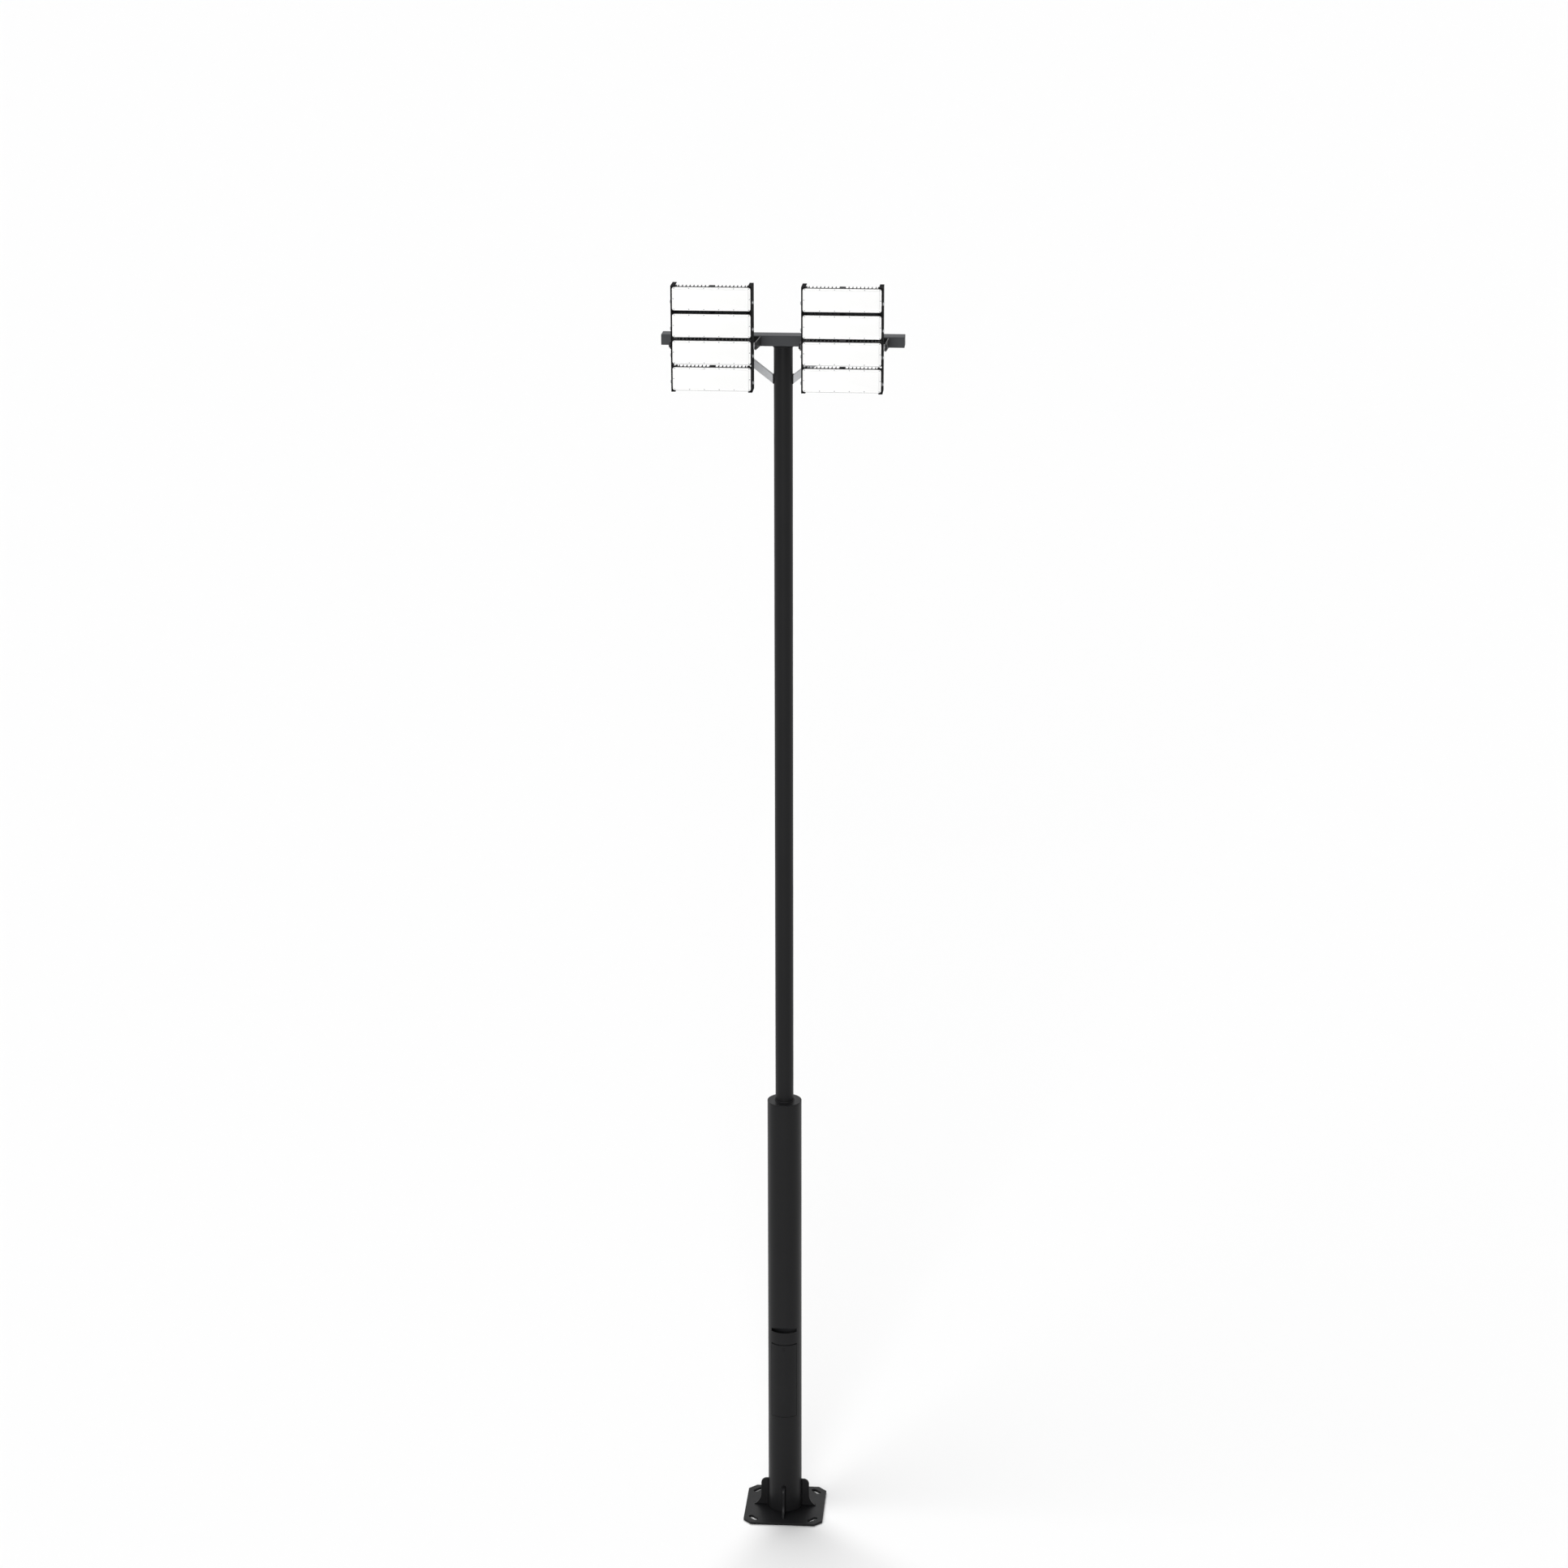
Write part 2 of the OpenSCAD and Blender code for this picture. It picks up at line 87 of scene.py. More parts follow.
def add(tree, kind, inputs=None, **settings):
    """Adds a node. Each of its inputs, by name or number, takes a value or another
    node's output."""
    made = tree.nodes.new(kind)
    for name, value in settings.items():
        setattr(made, name, value)
    for name, value in (inputs or {}).items():
        if isinstance(value, bpy.types.NodeSocket):
            tree.links.new(value, made.inputs[name])
        else:
            made.inputs[name].default_value = value
    return made


def new_material(name):
    """An empty node material and its tree."""
    made = bpy.data.materials.new(name)
    made.use_nodes = True
    made.node_tree.nodes.clear()
    return made, made.node_tree


# Matt white vinyl: it has no gloss, and keeps the pole's soft shadow.
studio_vinyl, tree = new_material("studio_vinyl")
matt = add(tree, "ShaderNodeBsdfDiffuse", {"Color": rgb("#f1f1f1")})
add(tree, "ShaderNodeOutputMaterial", {"Surface": matt.outputs[0]})

FLOOR_HALF = 250.0
FLOOR_Z = -0.001
floor_mesh = bpy.data.meshes.new("floor")
floor_mesh.from_pydata([(x * FLOOR_HALF, y * FLOOR_HALF, FLOOR_Z)
                        for x, y in ((-1, -1), (1, -1), (1, 1), (-1, 1))], [], [(0, 1, 2, 3)])
floor_mesh.materials.append(studio_vinyl)
floor = bpy.data.objects.new("floor", floor_mesh)
scene.collection.objects.link(floor)

# The sky is white where it is seen or mirrored, and dim where it lights the pole.
SKY_LIGHT = 0.05
studio_sky = bpy.data.worlds.new("studio_sky")
studio_sky.use_nodes = True
tree = studio_sky.node_tree
tree.nodes.clear()
path = add(tree, "ShaderNodeLightPath").outputs
seen = add(tree, "ShaderNodeMath", {0: path["Is Camera Ray"], 1: path["Is Transmission Ray"]},
           operation="MAXIMUM")
seen = add(tree, "ShaderNodeMath", {0: seen.outputs[0], 1: path["Is Glossy Ray"]},
           operation="MAXIMUM")
level = add(tree, "ShaderNodeMapRange",
            {"Value": seen.outputs[0], "To Min": SKY_LIGHT, "To Max": 1.0})
air = add(tree, "ShaderNodeBackground",
          {"Strength": level.outputs[0], "Color": rgb("#ffffff")})
add(tree, "ShaderNodeOutputWorld", {"Surface": air.outputs[0]})
scene.world = studio_sky

# Three large soft lamps: one high behind the pole, one high on its left, and a low one in
# front, the only one that the coats and the metal mirror. Each row gives the bearing and
# height in degrees, the strength, the width in degrees, and whether it is mirrored.
for name, azimuth, elevation, strength, width, mirrored in (
        ("back_lamp", -167, 52, 2.85, 43, False),
        ("side_lamp", -60, 44, 1.1, 44, False),
        ("front_lamp", -2, 18, 1.23, 22, True)):
    lamp = bpy.data.lights.new(name, "SUN")
    lamp.energy = strength
    lamp.angle = math.radians(width)
    lamp_object = bpy.data.objects.new(name, lamp)
    lamp_object.visible_glossy = mirrored
    towards_lamp = direction(math.radians(azimuth), math.radians(elevation))
    lamp_object.rotation_euler = towards_lamp.to_track_quat("Z", "Y").to_euler()
    scene.collection.objects.link(lamp_object)


# ---- Base plate and gussets ----
# A square of 12 mm steel plate with its corners cut off, curved slots for the anchor
# bolts and four gussets. It is plasma-cut, so its edges are only lightly broken.

HAND_SPAN = 0.2
PEEL_HEIGHT = 0.0004
PALER = 1.3


def coat(name, colour, peel_mm, peel, roughness, specular):
    """Polyester powder coat, baked on: a film with a fine orange peel, whose gloss and
    depth of colour drift a little from one hand-span to the next."""
    made, tree = new_material(name)
    place = add(tree, "ShaderNodeTexCoord").outputs["Object"]
    grain = add(tree, "ShaderNodeTexNoise",
                {"Vector": place, "Scale": 1000 / peel_mm, "Detail": 3.0, "Roughness": 0.6})
    drift = add(tree, "ShaderNodeTexNoise",
                {"Vector": place, "Scale": 1 / HAND_SPAN, "Detail": 2.0})
    gloss = add(tree, "ShaderNodeMapRange",
                {"Value": drift.outputs["Fac"], "From Min": 0.3, "From Max": 0.7,
                 "To Min": roughness - 0.04, "To Max": roughness + 0.05})
    deep = rgb(colour)
    pale = [c * PALER for c in deep[:3]] + [1.0]
    tone = add(tree, "ShaderNodeMix", {0: drift.outputs["Fac"], 6: deep, 7: pale},
               data_type="RGBA")
    relief = add(tree, "ShaderNodeBump",
                 {"Height": grain.outputs["Fac"], "Strength": peel, "Distance": PEEL_HEIGHT})
    film = add(tree, "ShaderNodeBsdfPrincipled",
               {"Base Color": tone.outputs[2], "Roughness": gloss.outputs[0],
                "Normal": relief.outputs[0], "IOR": 1.5, "Specular IOR Level": specular})
    add(tree, "ShaderNodeOutputMaterial", {"Surface": film.outputs[0]})
    return made


# Satin black powder coat: deep black with a soft, low sheen and a shallow orange peel.
satin_black = coat("satin_black_powder_coat", "#151516", peel_mm=2.5, peel=0.2,
                   roughness=0.42, specular=0.15)


SAME_POINT = 1e-6
FLAT = math.radians(0.5)
SHARP_EDGE = math.radians(35)


def mesh_of(shape, name):
    """The mesh that shape was built up to."""
    mesh = bpy.data.meshes.new(name)
    shape.to_mesh(mesh)
    shape.free()
    return mesh


def solid_mesh(*names):
    """One mesh of the solids of these nodes, with flat faces made whole."""
    shape = bmesh.new()
    for name in names:
        shape.from_mesh(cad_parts[name].data)
    bmesh.ops.remove_doubles(shape, verts=shape.verts, dist=SAME_POINT)
    bmesh.ops.dissolve_limit(shape, angle_limit=FLAT, verts=shape.verts, edges=shape.edges)
    return mesh_of(shape, names[0])


def piece(name, mesh, finish, body, stands_for=(), edge_mm=0.0):
    """Puts a finished piece in place: its edges are broken, it rides on its body, and
    it takes the place of the plain solids that it stands for."""
    mesh.materials.clear()
    mesh.materials.append(finish)
    mesh.shade_smooth()
    mesh.set_sharp_from_angle(angle=SHARP_EDGE)
    made = bpy.data.objects.new(name, mesh)
    scene.collection.objects.link(made)
    if edge_mm:
        broken = made.modifiers.new("broken_edge", "BEVEL")
        broken.width = edge_mm / 1000
        broken.segments = 2
        broken.limit_method = "ANGLE"
        broken.angle_limit = SHARP_EDGE
        broken.harden_normals = True
    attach(made, body)
    if stands_for:
        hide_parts(*stands_for)
    return made


piece("base_plate_steel", solid_mesh("base_plate"), satin_black, "pole",
      ["base_plate"], edge_mm=1.0)
for name in ("gusset_front", "gusset_right", "gusset_back", "gusset_left"):
    piece(f"{name}_steel", solid_mesh(name), satin_black, "pole", [name],
          edge_mm=0.8)


def new_tree(name, sizes):
    """A Geometry Nodes tree with these named sizes and a finish, and its inputs."""
    tree = bpy.data.node_groups.new(name, "GeometryNodeTree")
    sockets = tree.interface
    sockets.new_socket("Geometry", in_out="INPUT", socket_type="NodeSocketGeometry")
    for label, size in sizes.items():
        kind = "NodeSocketInt" if isinstance(size, int) else "NodeSocketFloat"
        sockets.new_socket(label, in_out="INPUT", socket_type=kind).default_value = size
    sockets.new_socket("Finish", in_out="INPUT", socket_type="NodeSocketMaterial")
    sockets.new_socket("Geometry", in_out="OUTPUT", socket_type="NodeSocketGeometry")
    return tree, add(tree, "NodeGroupInput").outputs


def end_tree(tree, given, geometry):
    """Makes the tree's instances real and gives them the finish."""
    real = add(tree, "GeometryNodeRealizeInstances", {0: geometry})
    finished = add(tree, "GeometryNodeSetMaterial",
                   {0: real.outputs[0], "Material": given["Finish"]})
    add(tree, "NodeGroupOutput", {0: finished.outputs[0]})


def grown(tree, start, finish, **sizes):
    """The plain mesh that a tree makes from a start mesh, with these of its sizes."""
    seed = bpy.data.objects.new(tree.name, start)
    scene.collection.objects.link(seed)
    modifier = seed.modifiers.new(tree.name, "NODES")
    modifier.node_group = tree
    chosen = {label.replace("_", " "): size for label, size in sizes.items()}
    chosen["Finish"] = finish
    for item in tree.interface.items_tree:
        if item.in_out == "INPUT" and item.name in chosen:
            modifier[item.identifier] = chosen[item.name]
    depsgraph = bpy.context.evaluated_depsgraph_get()
    mesh = bpy.data.meshes.new_from_object(seed.evaluated_get(depsgraph))
    bpy.data.objects.remove(seed)
    return mesh


# A fillet weld is a run of small ripples along a corner. One tree lays it on any path. The
# ripples are drawn at 4 mm, about twice the real ones, so that they show.
SAMPLES_PER_RIPPLE = 4.0
weld_bead, given = new_tree("weld_bead", {"Leg": 0.004, "Ripple": 0.004, "Unevenness": 0.12})
run = add(weld_bead, "GeometryNodeMeshToCurve", {"Mesh": given["Geometry"]})
pace = add(weld_bead, "ShaderNodeMath", {0: given["Ripple"], 1: SAMPLES_PER_RIPPLE},
           operation="DIVIDE")
fine = add(weld_bead, "GeometryNodeResampleCurve",
           {"Curve": run.outputs[0], "Length": pace.outputs[0]}, mode="LENGTH")
along = add(weld_bead, "GeometryNodeSplineParameter")
turns = add(weld_bead, "ShaderNodeMath", {0: along.outputs["Length"], 1: given["Ripple"]},
            operation="DIVIDE")
phase = add(weld_bead, "ShaderNodeMath", {0: turns.outputs[0], 1: math.tau},
            operation="MULTIPLY")
wave = add(weld_bead, "ShaderNodeMath", {0: phase.outputs[0]}, operation="SINE")
swell = add(weld_bead, "ShaderNodeMath",
            {0: wave.outputs[0], 1: given["Unevenness"], 2: 1.0}, operation="MULTIPLY_ADD")
section = add(weld_bead, "GeometryNodeCurvePrimitiveCircle",
              {"Resolution": 8, "Radius": given["Leg"]})
bead = add(weld_bead, "GeometryNodeCurveToMesh",
           {"Curve": fine.outputs[0], "Profile Curve": section.outputs[0],
            "Scale": swell.outputs[0], "Fill Caps": True})
end_tree(weld_bead, given, bead.outputs[0])


def paths(*lines):
    """A mesh of open or closed lines, for a tree to follow. A line that ends where it
    starts is closed."""
    mesh = bpy.data.meshes.new("paths")
    points, edges = [], []
    for line in lines:
        closed = (Vector(line[0]) - Vector(line[-1])).length < SAME_POINT
        line = line[:-1] if closed else line
        first = len(points)
        points += [tuple(p) for p in line]
        edges += [(first + i, first + i + 1) for i in range(len(line) - 1)]
        edges += [(first + len(line) - 1, first)] if closed else []
    mesh.from_pydata(points, edges, [])
    return mesh


def ring(radius, z, start=0.0, end=math.tau, steps=72):
    """Points along a level arc round the pole's axis."""
    angles = [start + (end - start) * i / steps for i in range(steps + 1)]
    return [(radius * math.cos(a), radius * math.sin(a), z) for a in angles]


# The beads run round the shaft between the gussets, up both sides of each gusset and out
# along its foot. They stop short of the gusset's ends, and of the beads that they meet.
FOOT_LEG = 0.0035
OFF_FACE = 0.001
CLEAR = 0.003
STOP_SHORT = 0.004
SHAFT_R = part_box("lower_shaft")[1].x
plate_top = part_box("base_plate")[1].z
gusset_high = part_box("gusset_right")[1]
gusset_half = gusset_high.y
foot_z = plate_top + OFF_FACE
weld_lines = []
for quarter in range(4):
    turn = Matrix.Rotation(quarter * math.pi / 2, 4, "Z")
    start = math.asin((gusset_half + CLEAR) / SHAFT_R)
    weld_lines.append([turn @ Vector(p) for p in
                       ring(SHAFT_R + OFF_FACE, foot_z, start, math.pi / 2 - start, steps=24)])
    for hand in (-1, 1):
        y = hand * (gusset_half + OFF_FACE)
        x = math.sqrt(SHAFT_R ** 2 - y ** 2) + OFF_FACE
        weld_lines.append([turn @ Vector((x, y, plate_top + CLEAR)),
                           turn @ Vector((x, y, gusset_high.z - STOP_SHORT))])
        weld_lines.append([turn @ Vector((x + CLEAR, y, foot_z)),
                           turn @ Vector((gusset_high.x - STOP_SHORT, y, foot_z))])
# Powder coat over a weld: the same black, but it lies thicker on the ripples, and duller.
weld_black = coat("powder_coat_over_weld", "#131314", peel_mm=2.0, peel=0.5,
                  roughness=0.75, specular=0.03)
piece("foot_welds", grown(weld_bead, paths(*weld_lines), weld_black, Leg=FOOT_LEG),
      weld_black, "pole")


# ---- Shaft ----
# One length of 168.3 mm steel tube from the plate to the shoulder, with the service
# opening and the slot above it cut out by plasma. A welded cap closes its top.

def tube_wall(outer, inner, low, high, openings=(), steps=96):
    """A tube's wall with openings cut through its front. Each opening is the half angle
    that it spans, its lower and upper edge, and the half width and rise of an arch that
    its upper edge makes."""
    front = -math.pi / 2
    angles = sorted({round(math.tau * i / steps - math.pi, 9) for i in range(steps)}
                    | {round(hand * o[0], 9) for o in openings for hand in (-1, 1)})
    heights = sorted({low, high} | {z for o in openings for z in o[1:3]})
    shape = bmesh.new()
    corners = {}

    def corner(i, k, radius):
        """The corner at angle i and height k on this radius, made where it is new."""
        key = (i % len(angles), k, radius)
        if key not in corners:
            angle = angles[i % len(angles)]
            a = front + angle
            x, z = radius * math.cos(a), heights[k]
            for half_angle, _, top, half_w, arch in openings:
                if arch and z == top and abs(x) < half_w and abs(angle) < half_angle:
                    arch_r = (half_w ** 2 + arch ** 2) / (2 * arch)
                    z += arch - arch_r + math.sqrt(arch_r ** 2 - x ** 2)
            corners[key] = shape.verts.new((x, radius * math.sin(a), z))
        return corners[key]

    def wall(i, k):
        """Whether the wall stands between angle i and the next, height k and the next."""
        if not 0 <= k < len(heights) - 1:
            return False
        i %= len(angles)
        step = (angles[(i + 1) % len(angles)] - angles[i]) % math.tau
        middle, z = angles[i] + step / 2, (heights[k] + heights[k + 1]) / 2
        return not any(abs(middle) < o[0] and o[1] < z < o[2] for o in openings)

    def face(*ends):
        """A face between four corners, each given as (angle, height, radius)."""
        shape.faces.new([corner(*end) for end in ends])

    for i in range(len(angles)):
        for k in range(len(heights) - 1):
            if not wall(i, k):
                continue
            i1, k1 = i + 1, k + 1
            face((i, k, outer), (i1, k, outer), (i1, k1, outer), (i, k1, outer))
            face((i1, k, inner), (i, k, inner), (i, k1, inner), (i1, k1, inner))
            if not wall(i, k - 1):
                face((i, k, inner), (i1, k, inner), (i1, k, outer), (i, k, outer))
            if not wall(i, k1):
                face((i, k1, outer), (i1, k1, outer), (i1, k1, inner), (i, k1, inner))
            if not wall(i - 1, k):
                face((i, k, outer), (i, k1, outer), (i, k1, inner), (i, k, inner))
            if not wall(i1, k):
                face((i1, k, inner), (i1, k1, inner), (i1, k1, outer), (i1, k, outer))
    return mesh_of(shape, "tube_wall")


# Zinc primer, sprayed into the bore: flat mid grey, with no sheen.
grey_primer = coat("grey_zinc_primer", "#4c4d4f", peel_mm=1.5, peel=0.4,
                   roughness=0.85, specular=0.05)


def lined(made, inner):
    """Gives the bore of a tube, which the powder doesn't reach, a finish of its own."""
    made.data.materials.append(inner)
    tolerance = 0.0001
    points = made.data.vertices
    bore = min(math.hypot(v.co.x, v.co.y) for v in points) + tolerance
    for face in made.data.polygons:
        if all(math.hypot(*points[i].co[:2]) < bore for i in face.vertices):
            face.material_index = 1


SHAFT_WALL = 0.005
OPENING_HALF = math.radians(49)
DOOR_GAP = 0.0015
DOOR_TOP_GAP = 0.006
SLOT_LOW = 1.011
SLOT_HIGH = 1.029
SLOT_RISE = 0.010
SLOT_ARCH_HALF = (SHAFT_R - 2 * SHAFT_WALL) * math.sin(OPENING_HALF)
door_low, door_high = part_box("service_door")
shaft_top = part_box("middle_shaft")[1].z
door_opening = (OPENING_HALF, door_low.z - DOOR_GAP, door_high.z + DOOR_TOP_GAP, 0.0, 0.0)
wall_slot = (OPENING_HALF, SLOT_LOW, SLOT_HIGH, SLOT_ARCH_HALF, SLOT_RISE)
shaft = piece("shaft_tube",
              tube_wall(SHAFT_R, SHAFT_R - SHAFT_WALL, plate_top, shaft_top,
                        [door_opening, wall_slot]),
              satin_black, "pole", ["lower_shaft", "middle_shaft"], edge_mm=0.8)
lined(shaft, grey_primer)
cap_low, cap_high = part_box("shaft_cap")
tube_low, tube_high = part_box("upper_tube")
TUBE_R = tube_high.x
piece("shaft_cap_plate", tube_wall(SHAFT_R, TUBE_R, cap_low.z, cap_high.z), satin_black,
      "pole", ["shaft_cap"], edge_mm=1.2)


# ---- Service door ----
# The piece cut from the tube, or one rolled like it, with a round key lock whose cam
# catches behind a frame welded inside the opening. It lifts off towards the front.

def closed_mesh(shape, name):
    """The mesh of closed shells, with their faces turned outwards."""
    bmesh.ops.recalc_face_normals(shape, faces=shape.faces)
    return mesh_of(shape, name)


def front_panel(outer, inner, half_angle, low, high, steps=40):
    """A piece of tube wall centred on the pole's front, on its own."""
    shape = bmesh.new()
    rows = []
    for i in range(steps + 1):
        a = -math.pi / 2 + half_angle * (2 * i / steps - 1)
        rows.append([shape.verts.new((r * math.cos(a), r * math.sin(a), z))
                     for r, z in ((outer, low), (outer, high), (inner, high), (inner, low))])
    for here, there in zip(rows, rows[1:]):
        for j in range(4):
            shape.faces.new([here[j], there[j], there[(j + 1) % 4], here[(j + 1) % 4]])
    shape.faces.new(rows[0])
    shape.faces.new(rows[-1][::-1])
    return closed_mesh(shape, "front_panel")


DOOR_BACK_OFF = 0.0003
door_back_r = SHAFT_R - SHAFT_WALL + DOOR_BACK_OFF
door_half = OPENING_HALF - math.asin(DOOR_GAP / SHAFT_R)
piece("service_door_panel",
      front_panel(SHAFT_R, door_back_r, door_half, door_low.z, door_high.z),
      satin_black, "door", ["service_door"], edge_mm=0.8)


def dress(finish, *names):
    """Gives plain solids that stay as they are their finish."""
    for name in names:
        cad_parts[name].data.materials.clear()
        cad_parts[name].data.materials.append(finish)


dress(satin_black, "door_frame", "centring_ring")

# The brushing is drawn at 3 mm, coarser than the real one, so that it shows.
BRUSHING = 0.003


def plated_steel(name, colour, roughness):
    """Zinc or nickel plated steel: bright metal with soft, finely brushed gloss."""
    made, tree = new_material(name)
    place = add(tree, "ShaderNodeTexCoord").outputs["Object"]
    streaks = add(tree, "ShaderNodeTexNoise",
                  {"Vector": place, "Scale": 1 / BRUSHING, "Detail": 2.0})
    gloss = add(tree, "ShaderNodeMapRange",
                {"Value": streaks.outputs["Fac"], "To Min": roughness - 0.08,
                 "To Max": roughness + 0.08})
    relief = add(tree, "ShaderNodeBump",
                 {"Height": streaks.outputs["Fac"], "Strength": 0.15, "Distance": 0.0002})
    metal = add(tree, "ShaderNodeBsdfPrincipled",
                {"Base Color": rgb(colour), "Metallic": 1.0,
                 "Roughness": gloss.outputs[0], "Normal": relief.outputs[0]})
    add(tree, "ShaderNodeOutputMaterial", {"Surface": metal.outputs[0]})
    return made


# Black nickel on the lock's zinc barrel: nearly black, with a metal's dark mirror.
lock_nickel = plated_steel("black_nickel_plated_zinc", "#252526", 0.4)
piece("key_lock", solid_mesh("door_lock"), lock_nickel, "door", ["door_lock"],
      edge_mm=0.4)


# ---- Upper tube ----
# 88.9 mm steel tube that runs down into the shaft and up to the beam. Its shoulder
# and its round top flange are welded all round.

TUBE_WALL = 0.004
piece("upper_tube_steel", tube_wall(TUBE_R, TUBE_R - TUBE_WALL, tube_low.z, tube_high.z),
      satin_black, "pole", ["upper_tube"])
# The flange is a whole disc: its wall reaches in to a hole too small to see.
FLANGE_HOLE_R = 0.0001
flange_low, flange_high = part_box("tube_flange")
piece("tube_flange_plate",
      tube_wall(flange_high.x, FLANGE_HOLE_R, flange_low.z, flange_high.z),
      satin_black, "pole", ["tube_flange"], edge_mm=1.0)
TUBE_LEG = 0.003
OFF_FLANGE_END = 0.0008
shoulder_weld = ring(TUBE_R + OFF_FACE, cap_high.z + OFF_FACE)
flange_weld = ring(TUBE_R + OFF_FLANGE_END, flange_low.z - OFF_FACE)
piece("tube_welds",
      grown(weld_bead, paths(shoulder_weld, flange_weld), satin_black, Leg=TUBE_LEG),
      satin_black, "pole")


# ---- Cross beam ----
# Rectangular steel tube across the top, coated dark grey, with a plate welded over
# each end.

# Dark grey powder coat: a matt, cool grey, plainly lighter than the black.
beam_grey = coat("dark_grey_powder_coat", "#464749", peel_mm=2.5, peel=0.2,
                 roughness=0.5, specular=0.06)
piece("cross_beam_tube", solid_mesh("cross_beam"), beam_grey, "pole",
      ["cross_beam"], edge_mm=0.5)
for name in ("beam_cap_left", "beam_cap_right"):
    piece(f"{name}_plate", solid_mesh(name), beam_grey, "pole", [name],
          edge_mm=1.0)


# ---- Braces ----
# Two slanting bars of hot-dip galvanised steel, left grey, against pads welded to the
# tube and under the beam.

SPANGLE = 0.009
BRIGHTER = 1.2


def galvanised_steel(name, colour):
    """Hot-dip galvanised steel: matt grey metal whose zinc crystals, the spangle, each
    mirror the sky a little differently."""
    made, tree = new_material(name)
    place = add(tree, "ShaderNodeTexCoord").outputs["Object"]
    spangle = add(tree, "ShaderNodeTexVoronoi", {"Vector": place, "Scale": 1 / SPANGLE})
    crystal = add(tree, "ShaderNodeRGBToBW", {"Color": spangle.outputs["Color"]})
    gloss = add(tree, "ShaderNodeMapRange",
                {"Value": crystal.outputs[0], "To Min": 0.55, "To Max": 0.75})
    dull = rgb(colour)
    bright = [c * BRIGHTER for c in dull[:3]] + [1.0]
    tone = add(tree, "ShaderNodeMix", {0: crystal.outputs[0], 6: dull, 7: bright},
               data_type="RGBA")
    metal = add(tree, "ShaderNodeBsdfPrincipled",
                {"Base Color": tone.outputs[2], "Metallic": 0.75,
                 "Roughness": gloss.outputs[0]})
    add(tree, "ShaderNodeOutputMaterial", {"Surface": metal.outputs[0]})
    return made


galvanised = galvanised_steel("hot_dip_galvanised_steel", "#b2b3b5")
for name in ("brace_left", "brace_right"):
    piece(f"{name}_bar", solid_mesh(name), galvanised, "pole", [name],
          edge_mm=1.5)
piece("brace_pad_plates", solid_mesh("brace_pads"), satin_black, "pole",
      ["brace_pads"], edge_mm=0.8)


# ---- Yokes ----
# A flat strap bolted to the beam's front, with an arm at each end that reaches
# forward to the lamp. It is cut and welded from 4 and 5 mm steel and coated black.

# A bolt is a hexagon prism with a chamfered crown, on a washer.
CROWN = 0.86
PRISM_SHARE = 0.8
CHAMFER_SHARE = 0.2
WASHER_SHARE = 0.3
hex_bolts, given = new_tree(
    "hex_bolts", {"Across Flats": 0.017, "Head Height": 0.0065, "Washer": 0.022})
radius = add(hex_bolts, "ShaderNodeMath", {0: given["Across Flats"], 1: math.sqrt(3)},
             operation="DIVIDE")
rim = add(hex_bolts, "ShaderNodeMath", {0: radius.outputs[0], 1: CROWN}, operation="MULTIPLY")
shank = add(hex_bolts, "ShaderNodeMath", {0: given["Head Height"], 1: PRISM_SHARE},
            operation="MULTIPLY")
chamfer = add(hex_bolts, "ShaderNodeMath", {0: given["Head Height"], 1: CHAMFER_SHARE},
              operation="MULTIPLY")
lower = add(hex_bolts, "GeometryNodeMeshCylinder",
            {"Vertices": 6, "Radius": radius.outputs[0], "Depth": shank.outputs[0]})
half = add(hex_bolts, "ShaderNodeMath", {0: shank.outputs[0], 1: 0.5}, operation="MULTIPLY")
lift_lower = add(hex_bolts, "ShaderNodeCombineXYZ", {"Z": half.outputs[0]})
lower = add(hex_bolts, "GeometryNodeTransform",
            {"Geometry": lower.outputs[0], "Translation": lift_lower.outputs[0]})
upper = add(hex_bolts, "GeometryNodeMeshCone",
            {"Vertices": 6, "Radius Bottom": radius.outputs[0],
             "Radius Top": rim.outputs[0], "Depth": chamfer.outputs[0]})
lift_upper = add(hex_bolts, "ShaderNodeCombineXYZ", {"Z": shank.outputs[0]})
upper = add(hex_bolts, "GeometryNodeTransform",
            {"Geometry": upper.outputs[0], "Translation": lift_upper.outputs[0]})
disc_r = add(hex_bolts, "ShaderNodeMath", {0: given["Washer"], 1: 0.5}, operation="MULTIPLY")
disc_t = add(hex_bolts, "ShaderNodeMath", {0: given["Head Height"], 1: WASHER_SHARE},
             operation="MULTIPLY")
disc = add(hex_bolts, "GeometryNodeMeshCylinder",
           {"Vertices": 24, "Radius": disc_r.outputs[0], "Depth": disc_t.outputs[0]})
half = add(hex_bolts, "ShaderNodeMath", {0: disc_t.outputs[0], 1: 0.5}, operation="MULTIPLY")
lift_disc = add(hex_bolts, "ShaderNodeCombineXYZ", {"Z": half.outputs[0]})
disc = add(hex_bolts, "GeometryNodeTransform",
           {"Geometry": disc.outputs[0], "Translation": lift_disc.outputs[0]})
bolt = add(hex_bolts, "GeometryNodeJoinGeometry", {0: lower.outputs[0]})
for part in (upper, disc):
    hex_bolts.links.new(part.outputs[0], bolt.inputs[0])
outward = add(hex_bolts, "GeometryNodeInputNamedAttribute", {"Name": "outward"},
              data_type="FLOAT_VECTOR")
upright = add(hex_bolts, "FunctionNodeAlignRotationToVector", {"Vector": outward.outputs[0]},
              axis="Z")
placed = add(hex_bolts, "GeometryNodeInstanceOnPoints",
             {"Points": given["Geometry"], "Instance": bolt.outputs[0],
              "Rotation": upright.outputs[0]})
end_tree(hex_bolts, given, placed.outputs[0])


